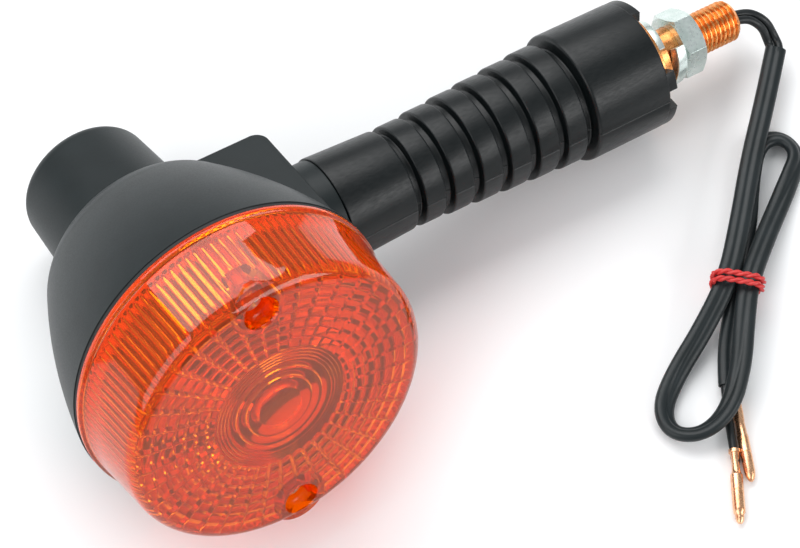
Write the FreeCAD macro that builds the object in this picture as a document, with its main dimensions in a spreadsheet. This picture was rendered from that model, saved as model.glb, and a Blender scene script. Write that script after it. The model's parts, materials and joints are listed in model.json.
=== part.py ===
import FreeCAD, Part
import Sketcher
import math
import os
import re
from FreeCAD import Placement, Rotation, Vector

# Motorcycle turn signal indicator on a flexible rubber stem, with its cord.
#
# Every piece of the lamp and of the stem is drawn in the lamp frame:
#   X  along the stem axis, from the lamp towards the mounting stud ("station" is an x)
#   -Y along the lens axis, towards the lens ("ahead" of the stem axis is a -y)
#   Z  square to both, up when the lamp is mounted
# The two axes cross at the lamp frame's origin. One placement then lays all of it down
# on the plane Z = 0, resting on the housing's bowl, the rear tube and the stem's end.
# The cord lies on that plane, and its route is given in the resting frame itself.

SIZES = {
    # housing: bowl, rear tube, stem boss and neck
    "rim_radius": 36.2,
    "rim_ahead": 23.4,
    "rim_inner_radius": 33.8,
    "waist_radius": 32.2,
    "waist_ahead": 8.0,
    "shoulder_radius": 25.7,
    "shoulder_ahead": -8.0,
    "wall": 2.2,
    "back_ahead": -15.8,
    "tube_front_radius": 16.6,
    "tube_rear_radius": 15.2,
    "tube_rear_ahead": -40.4,
    "tube_rounding": 3.0,
    "boss_station": 33.1,
    "boss_rear_ahead": -17.0,
    "boss_front_ahead": 21.0,
    "boss_root_station": 14.0,
    "boss_rear_half": 13.5,
    "boss_front_half": 11.8,
    "boss_rounding": 3.0,
    "neck_radius": 12.05,
    "neck_station": 37.7,
    "neck_bore": 9.0,
    "neck_bore_station": 29.6,
    "seat_station": 25.0,
    "seat_half": 10.0,
    "seat_root_station": 31.0,
    "seat_hole": 5.3,
    "spot_face": 9.4,
    # lens and its two screws
    "flange_radius": 36.1,
    "flange_back_ahead": 24.25,
    "flange_front_ahead": 25.5,
    "lens_root_radius": 35.4,
    "lens_edge_radius": 34.4,
    "lens_edge_ahead": 41.2,
    "lens_face_radius": 30.9,
    "lens_face_ahead": 44.8,
    "lens_wall": 2.0,
    "screw_pitch": 28.54,
    "screw_side": 1.87,
    "screw_post_radius": 3.6,
    "screw_cup_radius": 5.1,
    "screw_cup_ahead": 35.5,
    "screw_recess_radius": 3.2,
    "screw_seat_ahead": 39.0,
    "screw_hole": 2.2,
    "lens_post_ahead": 20.0,
    "post_foot_ahead": 9.5,
    "post_top_ahead": 19.0,
    "post_hole": 2.0,
    "post_hole_ahead": 10.5,
    "screw_shank_radius": 1.95,
    "screw_tip_ahead": 12.0,
    "screw_head_radius": 2.75,
    "screw_head_height": 2.0,
    "recess_width": 0.9,
    "recess_length": 3.3,
    "recess_depth": 1.3,
    "gasket_gap": 0.05,
    # reflector
    "reflector_outer": 31.2,
    "reflector_ledge": 24.0,
    "reflector_hole": 14.0,
    "reflector_front_ahead": 19.0,
    "reflector_rear_ahead": 11.0,
    "sheet": 0.8,
    # bulb: single filament, bayonet cap
    "globe_radius": 12.5,
    "globe_ahead": 6.0,
    "globe_tip_ahead": 18.5,
    "globe_neck_radius": 6.9,
    "globe_neck_ahead": -10.0,
    "globe_foot_ahead": -19.0,
    "glass": 0.7,
    "cap_radius": 7.5,
    "cap_inner_radius": 7.0,
    "cap_front_ahead": -12.5,
    "cap_rear_ahead": -31.0,
    "cap_floor": 0.8,
    "cap_hole": 3.5,
    "pin_radius": 1.0,
    "pin_reach": 8.6,
    "pin_ahead": -26.0,
    "tip_radius": 2.0,
    "tip_height": 0.6,
    "mount_radius": 3.0,
    "mount_front_ahead": -4.0,
    "support_radius": 0.35,
    "support_offset": 3.0,
    "filament_ahead": 7.0,
    "filament_radius": 0.5,
    # socket in the rear tube
    "shell_inner": 7.58,
    "shell_outer": 8.35,
    "shell_front_ahead": -17.0,
    "shell_rear_ahead": -37.5,
    "shell_hole": 2.0,
    "slot_half": 1.15,
    "bulb_push": 2.0,
    "slot_lane": 2.4,
    "slot_entry": 5.0,
    "holder_front_ahead": -30.0,
    "holder_rear_ahead": -36.0,
    "holder_front_radius": 13.35,
    "holder_rear_radius": 13.0,
    "plunger_radius": 7.5,
    "plunger_rear_ahead": -33.2,
    "plunger_step_ahead": -32.2,
    "plunger_front_ahead": -31.65,
    "plunger_tip": 2.2,
    "spring_radius": 4.6,
    "spring_wire": 0.2,
    "spring_rear_ahead": -36.45,
    "spring_turns": 2.5,
    "spring_length": 3.0,
    # rubber stem
    "spigot_station": 29.8,
    "spigot_radius": 8.9,
    "sleeve_station": 37.75,
    "sleeve_radius": 12.4,
    "sleeve_end_radius": 11.7,
    "sleeve_end_station": 54.4,
    "rib_count": 6.0,
    "rib_start": 56.4,
    "rib_width": 5.2,
    "rib_pitch": 7.17,
    "rib_radius": 11.75,
    "rib_growth": 0.446,
    "groove_depth": 1.9,
    "end_start": 99.6,
    "end_radius": 15.2,
    "end_face_station": 119.0,
    "end_face_radius": 15.1,
    "lug_height": 2.0,
    "lug_inner": 12.35,
    "wire_bore": 4.2,
    "rubber_gap": 0.07,
    # studs, washers and nuts: M10 x 1.25 thread, hollow for the wires
    "thread_radius": 4.93,
    "shank_radius": 4.75,
    "shank_end_station": 135.05,
    "stud_bore": 3.2,
    "stud_root_station": 112.0,
    "plate_station": 117.0,
    "plate_front_station": 121.0,
    "plate_radius": 12.2,
    "collar_radius": 8.35,
    "collar_station": 124.6,
    "notch_station": 121.6,
    "notch_outer": 9.5,
    "stud_end_station": 146.5,
    "thread_chamfer": 0.6,
    "washer_inner": 5.3,
    "washer_outer": 8.2,
    "washer_height": 2.6,
    "washer_station": 123.2,
    "washer_rise": 4.8,
    "nut_station": 129.5,
    "nut_height": 5.45,
    "nut_flats": 14.0,
    "nut_bore": 4.99,
    "nut_chamfer_radius": 7.1,
    "nut_chamfer": 0.6,
    "nut_turn": 128.5,
    "inner_stud_station": 17.5,
    "inner_stud_end": 36.0,
    "inner_plate_station": 33.0,
    "inner_plate_end": 35.0,
    "inner_plate_radius": 8.0,
    "inner_nut_station": 18.6,
    "inner_nut_height": 5.3,
    "inner_washer_station": 23.95,
    "inner_washer_height": 1.0,
    "inner_washer_radius": 9.0,
    "inner_washer_hole": 5.2,
    # cord
    "lead_diameter": 1.9,
    "lead_spacing": 1.0,
    "lead_gap": 0.1,
    "exit_spacing": 1.15,
    "exit_run": 3.5,
    "sheath_diameter": 4.0,
    "bullet_radius": 1.35,
    "crimp_radius": 1.1,
    "barrel_radius": 1.2,
    "band_radius": 0.65,
    "band_clearance": 0.42,
    "band_pitch": 1.2,
    # resting pose: the lamp frame's origin from the middle of the object's bounding box
    "origin_x": -55.42,
    "origin_y": 5.34,
}

# The lens screws, a little off the upright through the lens axis.
SCREWS = (("-screw_side", "screw_pitch"), ("screw_side", "-screw_pitch"))
STEM_LUGS = ((88.0, 119.0, 150.0), (10.0, 18.5, 27.0), (-120.0, -65.0, -10.0))
NOTCH_SECTOR = (45.0, 152.5, 260.0)
WASHER_START = 49.0
WASHER_SWEEP = 352.0

# Cord route: control points of the sheath, from its mouth near the stud to its far end.
SHEATH_ROUTE = (
    (96.9, -3.3, 5.8), (88.5, -13.1, 5.8), (76.4, -25.1, 6.7), (65.4, -36.8, 7.2),
    (54.5, -47.6, 7.7), (43.9, -53.9, 4.6), (33.9, -58.8, 2.4), (26.5, -64.1, 2.1),
    (25.0, -70.8, 2.1), (30.2, -75.0, 3.2), (37.7, -73.9, 5.8), (45.8, -65.8, 6.8),
    (52.1, -57.6, 7.4), (58.2, -50.3, 7.8), (67.6, -43.1, 5.2), (76.5, -36.8, 2.6),
    (83.4, -31.9, 2.1), (88.8, -27.7, 2.1), (87.7, -21.8, 2.1), (81.7, -20.6, 2.1),
    (75.0, -27.7, 2.1), (68.2, -36.5, 2.5), (59.5, -45.8, 4.0), (52.3, -54.0, 3.8),
    (46.3, -60.8, 2.2), (42.5, -67.1, 2.1),
)
# The leads between the socket and the stud's end, midway between them, in the lamp frame.
INNER_ROUTE = ((11.2, 29.95, 0), (11.5, 9.5, 0), (13.4, 2.6, 0), (18.6, 0, 0))
# The same leads between the stud's end and the sheath's mouth.
EXIT_BEND = ((93.8, 5.3, 12.0), (97.6, 1.6, 10.3), (98.6, -1.3, 6.1))
# Each end lead: its route after the sheath, and its terminal's start, step and tip.
END_BEND = (38.1, -73.3, 1.6)
TERMINAL_ONE = ((34.4, -81.3, 1.4), (32.2, -85.0, 1.4), (26.6, -94.8, 1.4))
TERMINAL_TWO = ((41.5, -71.4, 1.5), (37.0, -81.1, 1.4), (34.2, -88.1, 1.4))
# The tie: middle of the bundle, its direction, and each run's place across it and height.
BUNDLE = (56.21, -49.0)
BUNDLE_DIRECTION = (-0.68, -0.733)
BUNDLE_RUNS = ((-2.54, 7.28), (2.57, 7.54), (0.36, 3.91))

doc = FreeCAD.newDocument("TurnSignal")
SUBPARTS = []


# ---------------------------------------------------------------- sheet and expressions

def make_sheet():
    """The driving dimensions, one aliased cell each."""
    sheet = doc.addObject("Spreadsheet::Sheet", "Sizes")
    for row, (alias, value) in enumerate(SIZES.items(), start=1):
        sheet.set("A%d" % row, alias)
        sheet.set("B%d" % row, str(value))
        sheet.setAlias("B%d" % row, alias)
    doc.recompute()


def size(alias):
    return float(getattr(doc.Sizes, alias))


def cells(text):
    """Point each size name in an expression at its cell."""
    def cell(match):
        word = match.group()
        return "Sizes." + word if word in SIZES else word
    return re.sub(r"[a-z][a-z_]*", cell, text)


def bind(thing, prop, text):
    thing.setExpression(prop, cells(text))


def finish_subpart(thing, node, placement):
    """Name a finished piece after its node and put it in its place."""
    thing.Label = node
    thing.Placement = placement
    SUBPARTS.append(thing)
    return thing


# ---------------------------------------------------------------- resting pose

def bowl_circle():
    """The arc that the bowl's outline bulges along, as (ahead, radius) and its radius."""
    ends = [Vector(size(name + "_ahead"), size(name + "_radius"), 0)
            for name in ("rim", "waist", "shoulder")]
    arc = Part.Circle(*ends)
    return arc.Center, arc.Radius


def resting_pose():
    """Lay the lamp frame down: bowl and rear tube on the plane, then the stem's end."""
    bulge, bulge_radius = bowl_circle()
    rounding = size("tube_rounding")
    tube_ahead = size("tube_rear_ahead") + rounding
    tube_radius = size("tube_rear_radius") - rounding
    across, along = bulge.y - tube_radius, bulge.x - tube_ahead
    tilt = (math.acos((rounding - bulge_radius) / math.hypot(across, along))
            - math.atan2(along, across))
    height = tube_radius * math.cos(tilt) - tube_ahead * math.sin(tilt) + rounding
    reach = size("end_face_station") + size("lug_height")
    radius = size("end_face_radius")
    slope = math.atan2(reach, radius) - math.acos(height / math.hypot(reach, radius))
    stem = Vector(math.cos(slope), 0, -math.sin(slope))
    lens_x = math.sin(tilt) * math.tan(slope)
    lens_y = -math.sqrt(1 - math.sin(tilt) ** 2 - lens_x ** 2)
    back = Vector(-lens_x, -lens_y, -math.sin(tilt))
    origin = Vector(size("origin_x"), size("origin_y"), height)
    turn = Rotation(stem, back, stem.cross(back), "XYZ")
    print("lens axis up %.3f deg, stem down %.3f deg, origin %s"
          % (math.degrees(tilt), math.degrees(slope), tuple(round(c, 3) for c in origin)))
    return Placement(origin, turn)


# ---------------------------------------------------------------- sketches and features

def new_body(name):
    return doc.addObject("PartDesign::Body", name)


def sketch_on(body, name, role="XY_Plane", offset=None):
    """A sketch on one of the body's origin planes, lifted off it by an expression."""
    plane = [item for item in body.Origin.OriginFeatures if item.Role == role][0]
    sketch = body.newObject("Sketcher::SketchObject", name)
    sketch.AttachmentSupport = (plane, [""])
    sketch.MapMode = "FlatFace"
    if offset is not None:
        bind(sketch, "AttachmentOffset.Base.z", offset)
    return sketch


def mark_point(sketch, x, y):
    """A construction point held by two expressions from the sketch's origin."""
    mark = sketch.addGeometry(Part.Point(Vector(1, 1, 0)), True)
    for kind, text in (("DistanceX", x), ("DistanceY", y)):
        index = sketch.addConstraint(Sketcher.Constraint(kind, -1, 1, mark, 1, 1.0))
        bind(sketch, "Constraints[%d]" % index, text)
    return mark


def point_at(sketch, mark):
    point = sketch.Geometry[mark]
    return Vector(point.X, point.Y, 0)


def arc_through(start, middle, end):
    """A counter-clockwise arc, and which of its ends is the start."""
    circle = Part.Circle(start, middle, end)
    flat = Part.Circle(circle.Center, Vector(0, 0, 1), circle.Radius)
    turn = (middle - start).cross(end - middle).z
    first, last = (start, end) if turn > 0 else (end, start)
    arc = Part.ArcOfCircle(flat, flat.parameter(first), flat.parameter(last))
    return arc, (1, 2) if turn > 0 else (2, 1)


def draw_outline(sketch, points):
    """Close an outline. A point with a third entry is one that an arc passes through."""
    marks = [mark_point(sketch, point[0], point[1]) for point in points]
    doc.recompute()
    corners = [index for index, point in enumerate(points) if len(point) == 2]
    for here, there in zip(corners, corners[1:] + corners[:1]):
        start, end = point_at(sketch, marks[here]), point_at(sketch, marks[there])
        if (here + 1) % len(points) == there:
            edge = sketch.addGeometry(Part.LineSegment(start, end))
            ends = (1, 2)
        else:
            through = marks[here + 1]
            arc, ends = arc_through(start, point_at(sketch, through), end)
            edge = sketch.addGeometry(arc)
            sketch.addConstraint(Sketcher.Constraint("PointOnObject", through, 1, edge))
        for side, mark in zip(ends, (marks[here], marks[there])):
            sketch.addConstraint(Sketcher.Constraint("Coincident", edge, side, mark, 1))
    return sketch


def draw_circle(sketch, x, y, radius):
    mark = mark_point(sketch, x, y)
    doc.recompute()
    circle = sketch.addGeometry(Part.Circle(point_at(sketch, mark), Vector(0, 0, 1), 1.0))
    sketch.addConstraint(Sketcher.Constraint("Coincident", circle, 3, mark, 1))
    index = sketch.addConstraint(Sketcher.Constraint("Radius", circle, 1.0))
    bind(sketch, "Constraints[%d]" % index, radius)


def lens_outline(points):
    """Outline points given as (radius, ahead) for a piece turned about the lens axis."""
    return [(point[0], "-(%s)" % point[1]) + tuple(point[2:]) for point in points]


def turned(body, name, points, about, cut=False):
    """Turn an outline about the lens axis or the stem axis, adding or cutting."""
    sketch = sketch_on(body, name + "_outline")
    draw_outline(sketch, lens_outline(points) if about == "lens" else points)
    kind = "PartDesign::Groove" if cut else "PartDesign::Revolution"
    feature = body.newObject(kind, name)
    feature.Profile = sketch
    feature.ReferenceAxis = (sketch, ["V_Axis" if about == "lens" else "H_Axis"])
    feature.Angle = 360
    return feature


def padded(body, name, sketch, length, cut=False, middle=False, back=False):
    feature = body.newObject("PartDesign::Pocket" if cut else "PartDesign::Pad", name)
    feature.Profile = sketch
    feature.Midplane = middle
    feature.Reversed = back
    bind(feature, "Length", length)
    return feature


def sector_outline(angles, inner, outer):
    """A ring sector about the stem axis, at angles from the lens side up over the top."""
    def polar(radius, angle):
        return ("-(%s) * cos(%g deg)" % (radius, angle), "(%s) * sin(%g deg)" % (radius, angle))
    start, middle, end = angles
    return [polar(outer, start), polar(outer, middle) + ("arc",), polar(outer, end),
            polar(inner, end), polar(inner, middle) + ("arc",), polar(inner, start)]


def turned_piece(node, points, about, placement):
    body = new_body(node)
    turned(body, node + "_turn", points, about)
    return finish_subpart(body, node, placement)


# ---------------------------------------------------------------- lamp: housing and lens

def make_housing(rest):
    """Bowl and rear tube in one shell, with the stem's boss, neck and screw posts."""
    body = new_body("housing")
    turned(body, "bowl_and_tube", [
        ("0", "tube_rear_ahead"),
        ("tube_rear_radius - tube_rounding", "tube_rear_ahead"),
        ("tube_rear_radius - 0.293 * tube_rounding", "tube_rear_ahead + 0.293 * tube_rounding", "arc"),
        ("tube_rear_radius", "tube_rear_ahead + tube_rounding"),
        ("tube_front_radius", "back_ahead"),
        ("tube_front_radius + 0.7", "back_ahead"),
        ("shoulder_radius - 3.2", "shoulder_ahead - 4.7", "arc"),
        ("shoulder_radius", "shoulder_ahead"),
        ("waist_radius", "waist_ahead", "arc"),
        ("rim_radius", "rim_ahead"),
        ("0", "rim_ahead"),
    ], "lens")
    boss = sketch_on(body, "boss_outline", "YZ_Plane", "boss_root_station")
    draw_outline(boss, [
        ("-boss_front_ahead", "-boss_front_half"), ("-boss_rear_ahead", "-boss_rear_half"),
        ("-boss_rear_ahead", "boss_rear_half"), ("-boss_front_ahead", "boss_front_half"),
    ])
    padded(body, "boss", boss, "boss_station - boss_root_station")
    corner = sketch_on(body, "corner_outline")
    draw_outline(corner, [
        ("boss_station", "-(boss_rear_ahead + boss_rounding)"),
        ("boss_station - 0.293 * boss_rounding", "-(boss_rear_ahead + 0.293 * boss_rounding)", "arc"),
        ("boss_station - boss_rounding", "-boss_rear_ahead"),
        ("boss_station - boss_rounding", "-boss_rear_ahead + 1"),
        ("boss_station + 1", "-boss_rear_ahead + 1"),
        ("boss_station + 1", "-(boss_rear_ahead + boss_rounding)"),
    ])
    padded(body, "boss_corner", corner, "2 * boss_rear_half + 1", cut=True, middle=True)
    turned(body, "neck", [
        ("boss_station - 1", "0"), ("boss_station - 1", "neck_radius"),
        ("neck_station", "neck_radius"), ("neck_station", "0"),
    ], "stem")
    turned(body, "cavity", [
        ("0", "tube_rear_ahead + wall"),
        ("tube_rear_radius - wall", "tube_rear_ahead + wall"),
        ("tube_front_radius - wall", "back_ahead + wall"),
        ("tube_front_radius", "back_ahead + wall"),
        ("shoulder_radius - 5", "shoulder_ahead - 3.2", "arc"),
        ("shoulder_radius - wall", "shoulder_ahead + 0.5"),
        ("waist_radius - wall", "waist_ahead", "arc"),
        ("rim_inner_radius", "rim_ahead + 1"),
        ("0", "rim_ahead + 1"),
    ], "lens", cut=True)
    seat = sketch_on(body, "seat_outline")
    draw_outline(seat, [
        ("seat_station", "-seat_half"), ("seat_root_station", "-seat_half"),
        ("seat_root_station", "seat_half"), ("seat_station", "seat_half"),
    ])
    padded(body, "stem_seat", seat, "2 * seat_half", middle=True)
    posts = sketch_on(body, "posts_outline", "XZ_Plane", "post_foot_ahead")
    for x, z in SCREWS:
        draw_circle(posts, x, z, "screw_post_radius")
    padded(body, "screw_posts", posts, "post_top_ahead - post_foot_ahead")
    turned(body, "stem_bore", [
        ("inner_stud_station", "0"), ("inner_stud_station", "spot_face"),
        ("seat_station", "spot_face"), ("seat_station", "seat_hole"),
        ("neck_bore_station", "seat_hole"), ("neck_bore_station", "neck_bore"),
        ("neck_station + 1", "neck_bore"), ("neck_station + 1", "0"),
    ], "stem", cut=True)
    holes = sketch_on(body, "holes_outline", "XZ_Plane", "post_top_ahead")
    for x, z in SCREWS:
        draw_circle(holes, x, z, "post_hole")
    padded(body, "screw_holes", holes, "post_top_ahead - post_hole_ahead", cut=True)
    return finish_subpart(body, "housing", rest)


def make_lens(rest):
    """Amber cover: flange, tapered side wall, rounded edge and two screw cups."""
    body = new_body("lens")
    turned(body, "lens_shell", [
        ("flange_radius", "flange_back_ahead"), ("flange_radius", "flange_front_ahead"),
        ("lens_root_radius", "flange_front_ahead + 0.4"),
        ("lens_edge_radius", "lens_edge_ahead"),
        ("lens_edge_radius - 1.03", "lens_edge_ahead + 2.55", "arc"),
        ("lens_face_radius", "lens_face_ahead"), ("0", "lens_face_ahead"),
        ("0", "lens_face_ahead - lens_wall"),
        ("lens_face_radius - 0.3", "lens_face_ahead - lens_wall"),
        ("lens_edge_radius - lens_wall", "lens_edge_ahead - 0.3"),
        ("lens_root_radius - lens_wall", "flange_back_ahead"),
    ], "lens")
    cups = sketch_on(body, "cups_outline", "XZ_Plane", "screw_cup_ahead")
    posts = sketch_on(body, "lens_posts_outline", "XZ_Plane", "lens_post_ahead")
    for x, z in SCREWS:
        draw_circle(cups, x, z, "screw_cup_radius")
        draw_circle(posts, x, z, "screw_post_radius")
    padded(body, "screw_cups", cups, "lens_face_ahead - lens_wall / 2 - screw_cup_ahead")
    padded(body, "lens_posts", posts, "screw_cup_ahead + 1 - lens_post_ahead")
    turned(body, "outside_trim", [
        ("lens_edge_radius", "lens_edge_ahead"),
        ("lens_edge_radius - 1.03", "lens_edge_ahead + 2.55", "arc"),
        ("lens_face_radius", "lens_face_ahead"), ("lens_face_radius + 8", "lens_face_ahead"),
        ("lens_face_radius + 8", "flange_front_ahead + 0.4"),
        ("lens_root_radius", "flange_front_ahead + 0.4"),
    ], "lens", cut=True)
    recess = sketch_on(body, "recess_outline", "XZ_Plane", "screw_seat_ahead")
    holes = sketch_on(body, "lens_holes_outline", "XZ_Plane", "lens_post_ahead - 1")
    for x, z in SCREWS:
        draw_circle(recess, x, z, "screw_recess_radius")
        draw_circle(holes, x, z, "screw_hole")
    padded(body, "screw_recess", recess, "lens_face_ahead + 1 - screw_seat_ahead", cut=True, back=True)
    padded(body, "screw_through", holes, "screw_seat_ahead + 1 - lens_post_ahead", cut=True, back=True)
    return finish_subpart(body, "lens", rest)


def make_gasket(rest):
    return turned_piece("lens_gasket", [
        ("rim_inner_radius + 0.1", "rim_ahead + gasket_gap"),
        ("rim_radius - 0.2", "rim_ahead + gasket_gap"),
        ("rim_radius - 0.2", "flange_back_ahead - gasket_gap"),
        ("rim_inner_radius + 0.1", "flange_back_ahead - gasket_gap"),
    ], "lens", rest)


def box_between(name, lows, highs):
    """A Part::Box whose corners are expressions."""
    box = doc.addObject("Part::Box", name)
    for prop, low, high in zip(("Length", "Width", "Height"), lows, highs):
        bind(box, prop, "(%s) - (%s)" % (high, low))
    for axis, low in zip("xyz", lows):
        bind(box, "Placement.Base." + axis, low)
    return box


def rod(name, radius, length, base, direction):
    """A Part::Cylinder from a point given by expressions, along a direction."""
    cylinder = doc.addObject("Part::Cylinder", name)
    cylinder.Placement = Placement(Vector(), Rotation(Vector(0, 0, 1), direction))
    bind(cylinder, "Radius", radius)
    bind(cylinder, "Height", length)
    for axis, text in zip("xyz", base):
        bind(cylinder, "Placement.Base." + axis, text)
    return cylinder


def joined(name, pieces):
    fuse = doc.addObject("Part::MultiFuse", name)
    fuse.Shapes = pieces
    return fuse


def cut_from(name, base, tool):
    cut = doc.addObject("Part::Cut", name)
    cut.Base = base
    cut.Tool = tool
    return cut


AHEAD = Vector(0, -1, 0)
OUTWARD = Vector(1, 0, 0)


def make_screw(node, place, rest):
    """A cross-recessed pan-head screw that holds the lens."""
    x, z = place
    shank = rod(node + "_shank", "screw_shank_radius", "screw_seat_ahead + 0.5 - screw_tip_ahead",
                (x, "-screw_tip_ahead", z), AHEAD)
    head = rod(node + "_head", "screw_head_radius", "screw_head_height",
               (x, "-screw_seat_ahead - 0.02", z), AHEAD)
    top = "-(screw_seat_ahead + screw_head_height + 0.1)"
    floor = "-(screw_seat_ahead + screw_head_height - recess_depth)"
    slots = []
    for name, wide, tall in (("_slot_across", "recess_length", "recess_width"),
                             ("_slot_up", "recess_width", "recess_length")):
        slots.append(box_between(
            node + name, ("%s - %s / 2" % (x, wide), top, "%s - %s / 2" % (z, tall)),
            ("%s + %s / 2" % (x, wide), floor, "%s + %s / 2" % (z, tall))))
    blank = joined(node + "_blank", [shank, head])
    finish_subpart(cut_from(node, blank, joined(node + "_recess", slots)), node, rest)


def make_reflector(rest):
    """Bright pressed dish around the bulb, clamped under the lens's posts."""
    body = new_body("reflector")
    turned(body, "dish", [
        ("reflector_outer", "reflector_front_ahead + 0.05"),
        ("reflector_outer", "reflector_front_ahead + sheet"),
        ("reflector_ledge", "reflector_front_ahead + sheet"),
        ("reflector_ledge - 4", "reflector_rear_ahead + sheet + 3", "arc"),
        ("reflector_hole", "reflector_rear_ahead + sheet"),
        ("reflector_hole", "reflector_rear_ahead"),
        ("reflector_ledge - 3.4", "reflector_rear_ahead + 3", "arc"),
        ("reflector_ledge + 0.5", "reflector_front_ahead + 0.05"),
    ], "lens")
    holes = sketch_on(body, "dish_holes_outline", "XZ_Plane", "reflector_front_ahead - 1")
    for x, z in SCREWS:
        draw_circle(holes, x, z, "screw_hole")
    padded(body, "dish_holes", holes, "sheet + 2", cut=True, back=True)
    return finish_subpart(body, "reflector", rest)


# ---------------------------------------------------------------- lamp: bulb and socket

def make_bulb(rest):
    """Glass globe, cap with bayonet pins, contact, glass mount and filament."""
    turned_piece("bulb_glass", [
        ("globe_neck_radius", "globe_foot_ahead"), ("globe_neck_radius", "globe_neck_ahead"),
        ("globe_radius - 1.6", "globe_ahead - 8", "arc"), ("globe_radius", "globe_ahead"),
        ("0.7071 * globe_radius", "globe_ahead + 0.7071 * globe_radius", "arc"),
        ("0", "globe_tip_ahead"), ("0", "globe_tip_ahead - glass"),
        ("0.7071 * (globe_radius - glass)", "globe_ahead + 0.7071 * (globe_radius - glass)", "arc"),
        ("globe_radius - glass", "globe_ahead"),
        ("globe_radius - 1.6 - glass", "globe_ahead - 8", "arc"),
        ("globe_neck_radius - glass", "globe_neck_ahead"),
        ("globe_neck_radius - glass", "globe_foot_ahead"),
    ], "lens", rest)
    cap = new_body("bulb_cap")
    turned(cap, "cap_shell", [
        ("cap_hole", "cap_rear_ahead"), ("cap_radius", "cap_rear_ahead"),
        ("cap_radius", "cap_front_ahead"), ("cap_inner_radius", "cap_front_ahead"),
        ("cap_inner_radius", "cap_rear_ahead + cap_floor"), ("cap_hole", "cap_rear_ahead + cap_floor"),
    ], "lens")
    for name, back in (("pin_right", False), ("pin_left", True)):
        pin = sketch_on(cap, name + "_outline", "YZ_Plane",
                        ("-" if back else "") + "(cap_inner_radius + 0.2)")
        draw_circle(pin, "-pin_ahead", "0", "pin_radius")
        padded(cap, name, pin, "pin_reach - cap_inner_radius - 0.2", back=back)
    finish_subpart(cap, "bulb_cap", rest)
    turned_piece("bulb_insulator", [
        ("0", "cap_rear_ahead"), ("cap_hole - 0.05", "cap_rear_ahead"),
        ("cap_hole - 0.05", "cap_rear_ahead + cap_floor"), ("0", "cap_rear_ahead + cap_floor"),
    ], "lens", rest)
    turned_piece("bulb_contact", [
        ("0", "cap_rear_ahead - tip_height"), ("0.6 * tip_radius", "cap_rear_ahead - tip_height"),
        ("tip_radius", "cap_rear_ahead"), ("0", "cap_rear_ahead"),
    ], "lens", rest)
    turned_piece("filament_mount", [
        ("0", "globe_foot_ahead"), ("0.6 * mount_radius", "globe_foot_ahead"),
        ("0.6 * mount_radius", "mount_front_ahead - 6"), ("mount_radius + 1", "mount_front_ahead - 4"),
        ("mount_radius + 1", "mount_front_ahead"), ("0", "mount_front_ahead"),
    ], "lens", rest)
    wires = [rod("support_" + side, "support_radius", "filament_ahead - mount_front_ahead",
                 (sign + "support_offset", "-mount_front_ahead", "0"), AHEAD)
             for side, sign in (("right", ""), ("left", "-"))]
    coil = rod("coil", "filament_radius", "2 * support_offset",
               ("-support_offset", "-filament_ahead", "0"), OUTWARD)
    finish_subpart(joined("bulb_filament", wires + [coil]), "bulb_filament", rest)


def make_socket(rest):
    """Bayonet shell with its J slots, the ring that holds it, plunger and spring."""
    shell = new_body("socket_shell")
    turned(shell, "shell", [
        ("shell_hole", "shell_rear_ahead"), ("shell_outer", "shell_rear_ahead"),
        ("shell_outer", "shell_front_ahead"), ("shell_inner", "shell_front_ahead"),
        ("shell_inner", "shell_rear_ahead + cap_floor"), ("shell_hole", "shell_rear_ahead + cap_floor"),
    ], "lens")
    deep = "-(pin_ahead - slot_half - bulb_push)"
    slot = sketch_on(shell, "slot_outline", "YZ_Plane", "shell_inner - 1.5")
    draw_outline(slot, [
        (deep, "-slot_half"), ("-(pin_ahead + slot_half)", "-slot_half"),
        ("-(pin_ahead + slot_half)", "slot_half"), (deep + " - slot_lane", "slot_half"),
        (deep + " - slot_lane", "slot_entry - slot_lane"),
        ("-shell_front_ahead - 1", "slot_entry - slot_lane"),
        ("-shell_front_ahead - 1", "slot_entry"), (deep, "slot_entry"),
    ])
    pocket = padded(shell, "slot", slot, "4", cut=True, back=True)
    pattern = shell.newObject("PartDesign::PolarPattern", "slots")
    pattern.Originals = [pocket]
    pattern.Axis = ([item for item in shell.Origin.OriginFeatures if item.Role == "Y_Axis"][0], [""])
    pattern.Angle = 360
    pattern.Occurrences = 2
    shell.Tip = pattern
    finish_subpart(shell, "socket_shell", rest)
    turned_piece("socket_holder", [
        ("shell_outer + 0.05", "holder_rear_ahead"), ("holder_rear_radius", "holder_rear_ahead"),
        ("holder_front_radius", "holder_front_ahead"), ("shell_outer + 0.05", "holder_front_ahead"),
    ], "lens", rest)
    turned_piece("contact_plunger", [
        ("0", "plunger_rear_ahead"), ("plunger_radius", "plunger_rear_ahead"),
        ("plunger_radius", "plunger_step_ahead"), ("plunger_tip", "plunger_step_ahead"),
        ("plunger_tip", "plunger_front_ahead"), ("0", "plunger_front_ahead"),
    ], "lens", rest)
    make_contact_spring(rest)


def swept(path, profile):
    """A solid swept along one wire, with its section kept square to the wire."""
    pipe = Part.BRepOffsetAPI.MakePipeShell(path)
    pipe.setFrenetMode(True)
    pipe.add(profile)
    pipe.build()
    pipe.makeSolid()
    return Part.Solid(pipe.shape().Shells[0])


def shaped(node, shape, placement):
    """A sub-part whose shape is made with Part's own functions."""
    feature = doc.addObject("Part::Feature", node)
    feature.Shape = shape
    return finish_subpart(feature, node, placement * shape.Placement)


def make_contact_spring(rest):
    turns, length = size("spring_turns"), size("spring_length")
    helix = Part.makeHelix(length / turns, length, size("spring_radius"))
    start = Vector(size("spring_radius"), 0, 0)
    ring = Part.Wire(Part.makeCircle(size("spring_wire"), start, Vector(0, 1, 0)))
    coil = swept(Part.Wire(helix.Edges), ring)
    coil.rotate(Vector(), Vector(1, 0, 0), 90)
    coil.translate(Vector(0, -size("spring_rear_ahead"), 0))
    shaped("contact_spring", coil, rest)


# ---------------------------------------------------------------- stem and its fasteners

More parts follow.
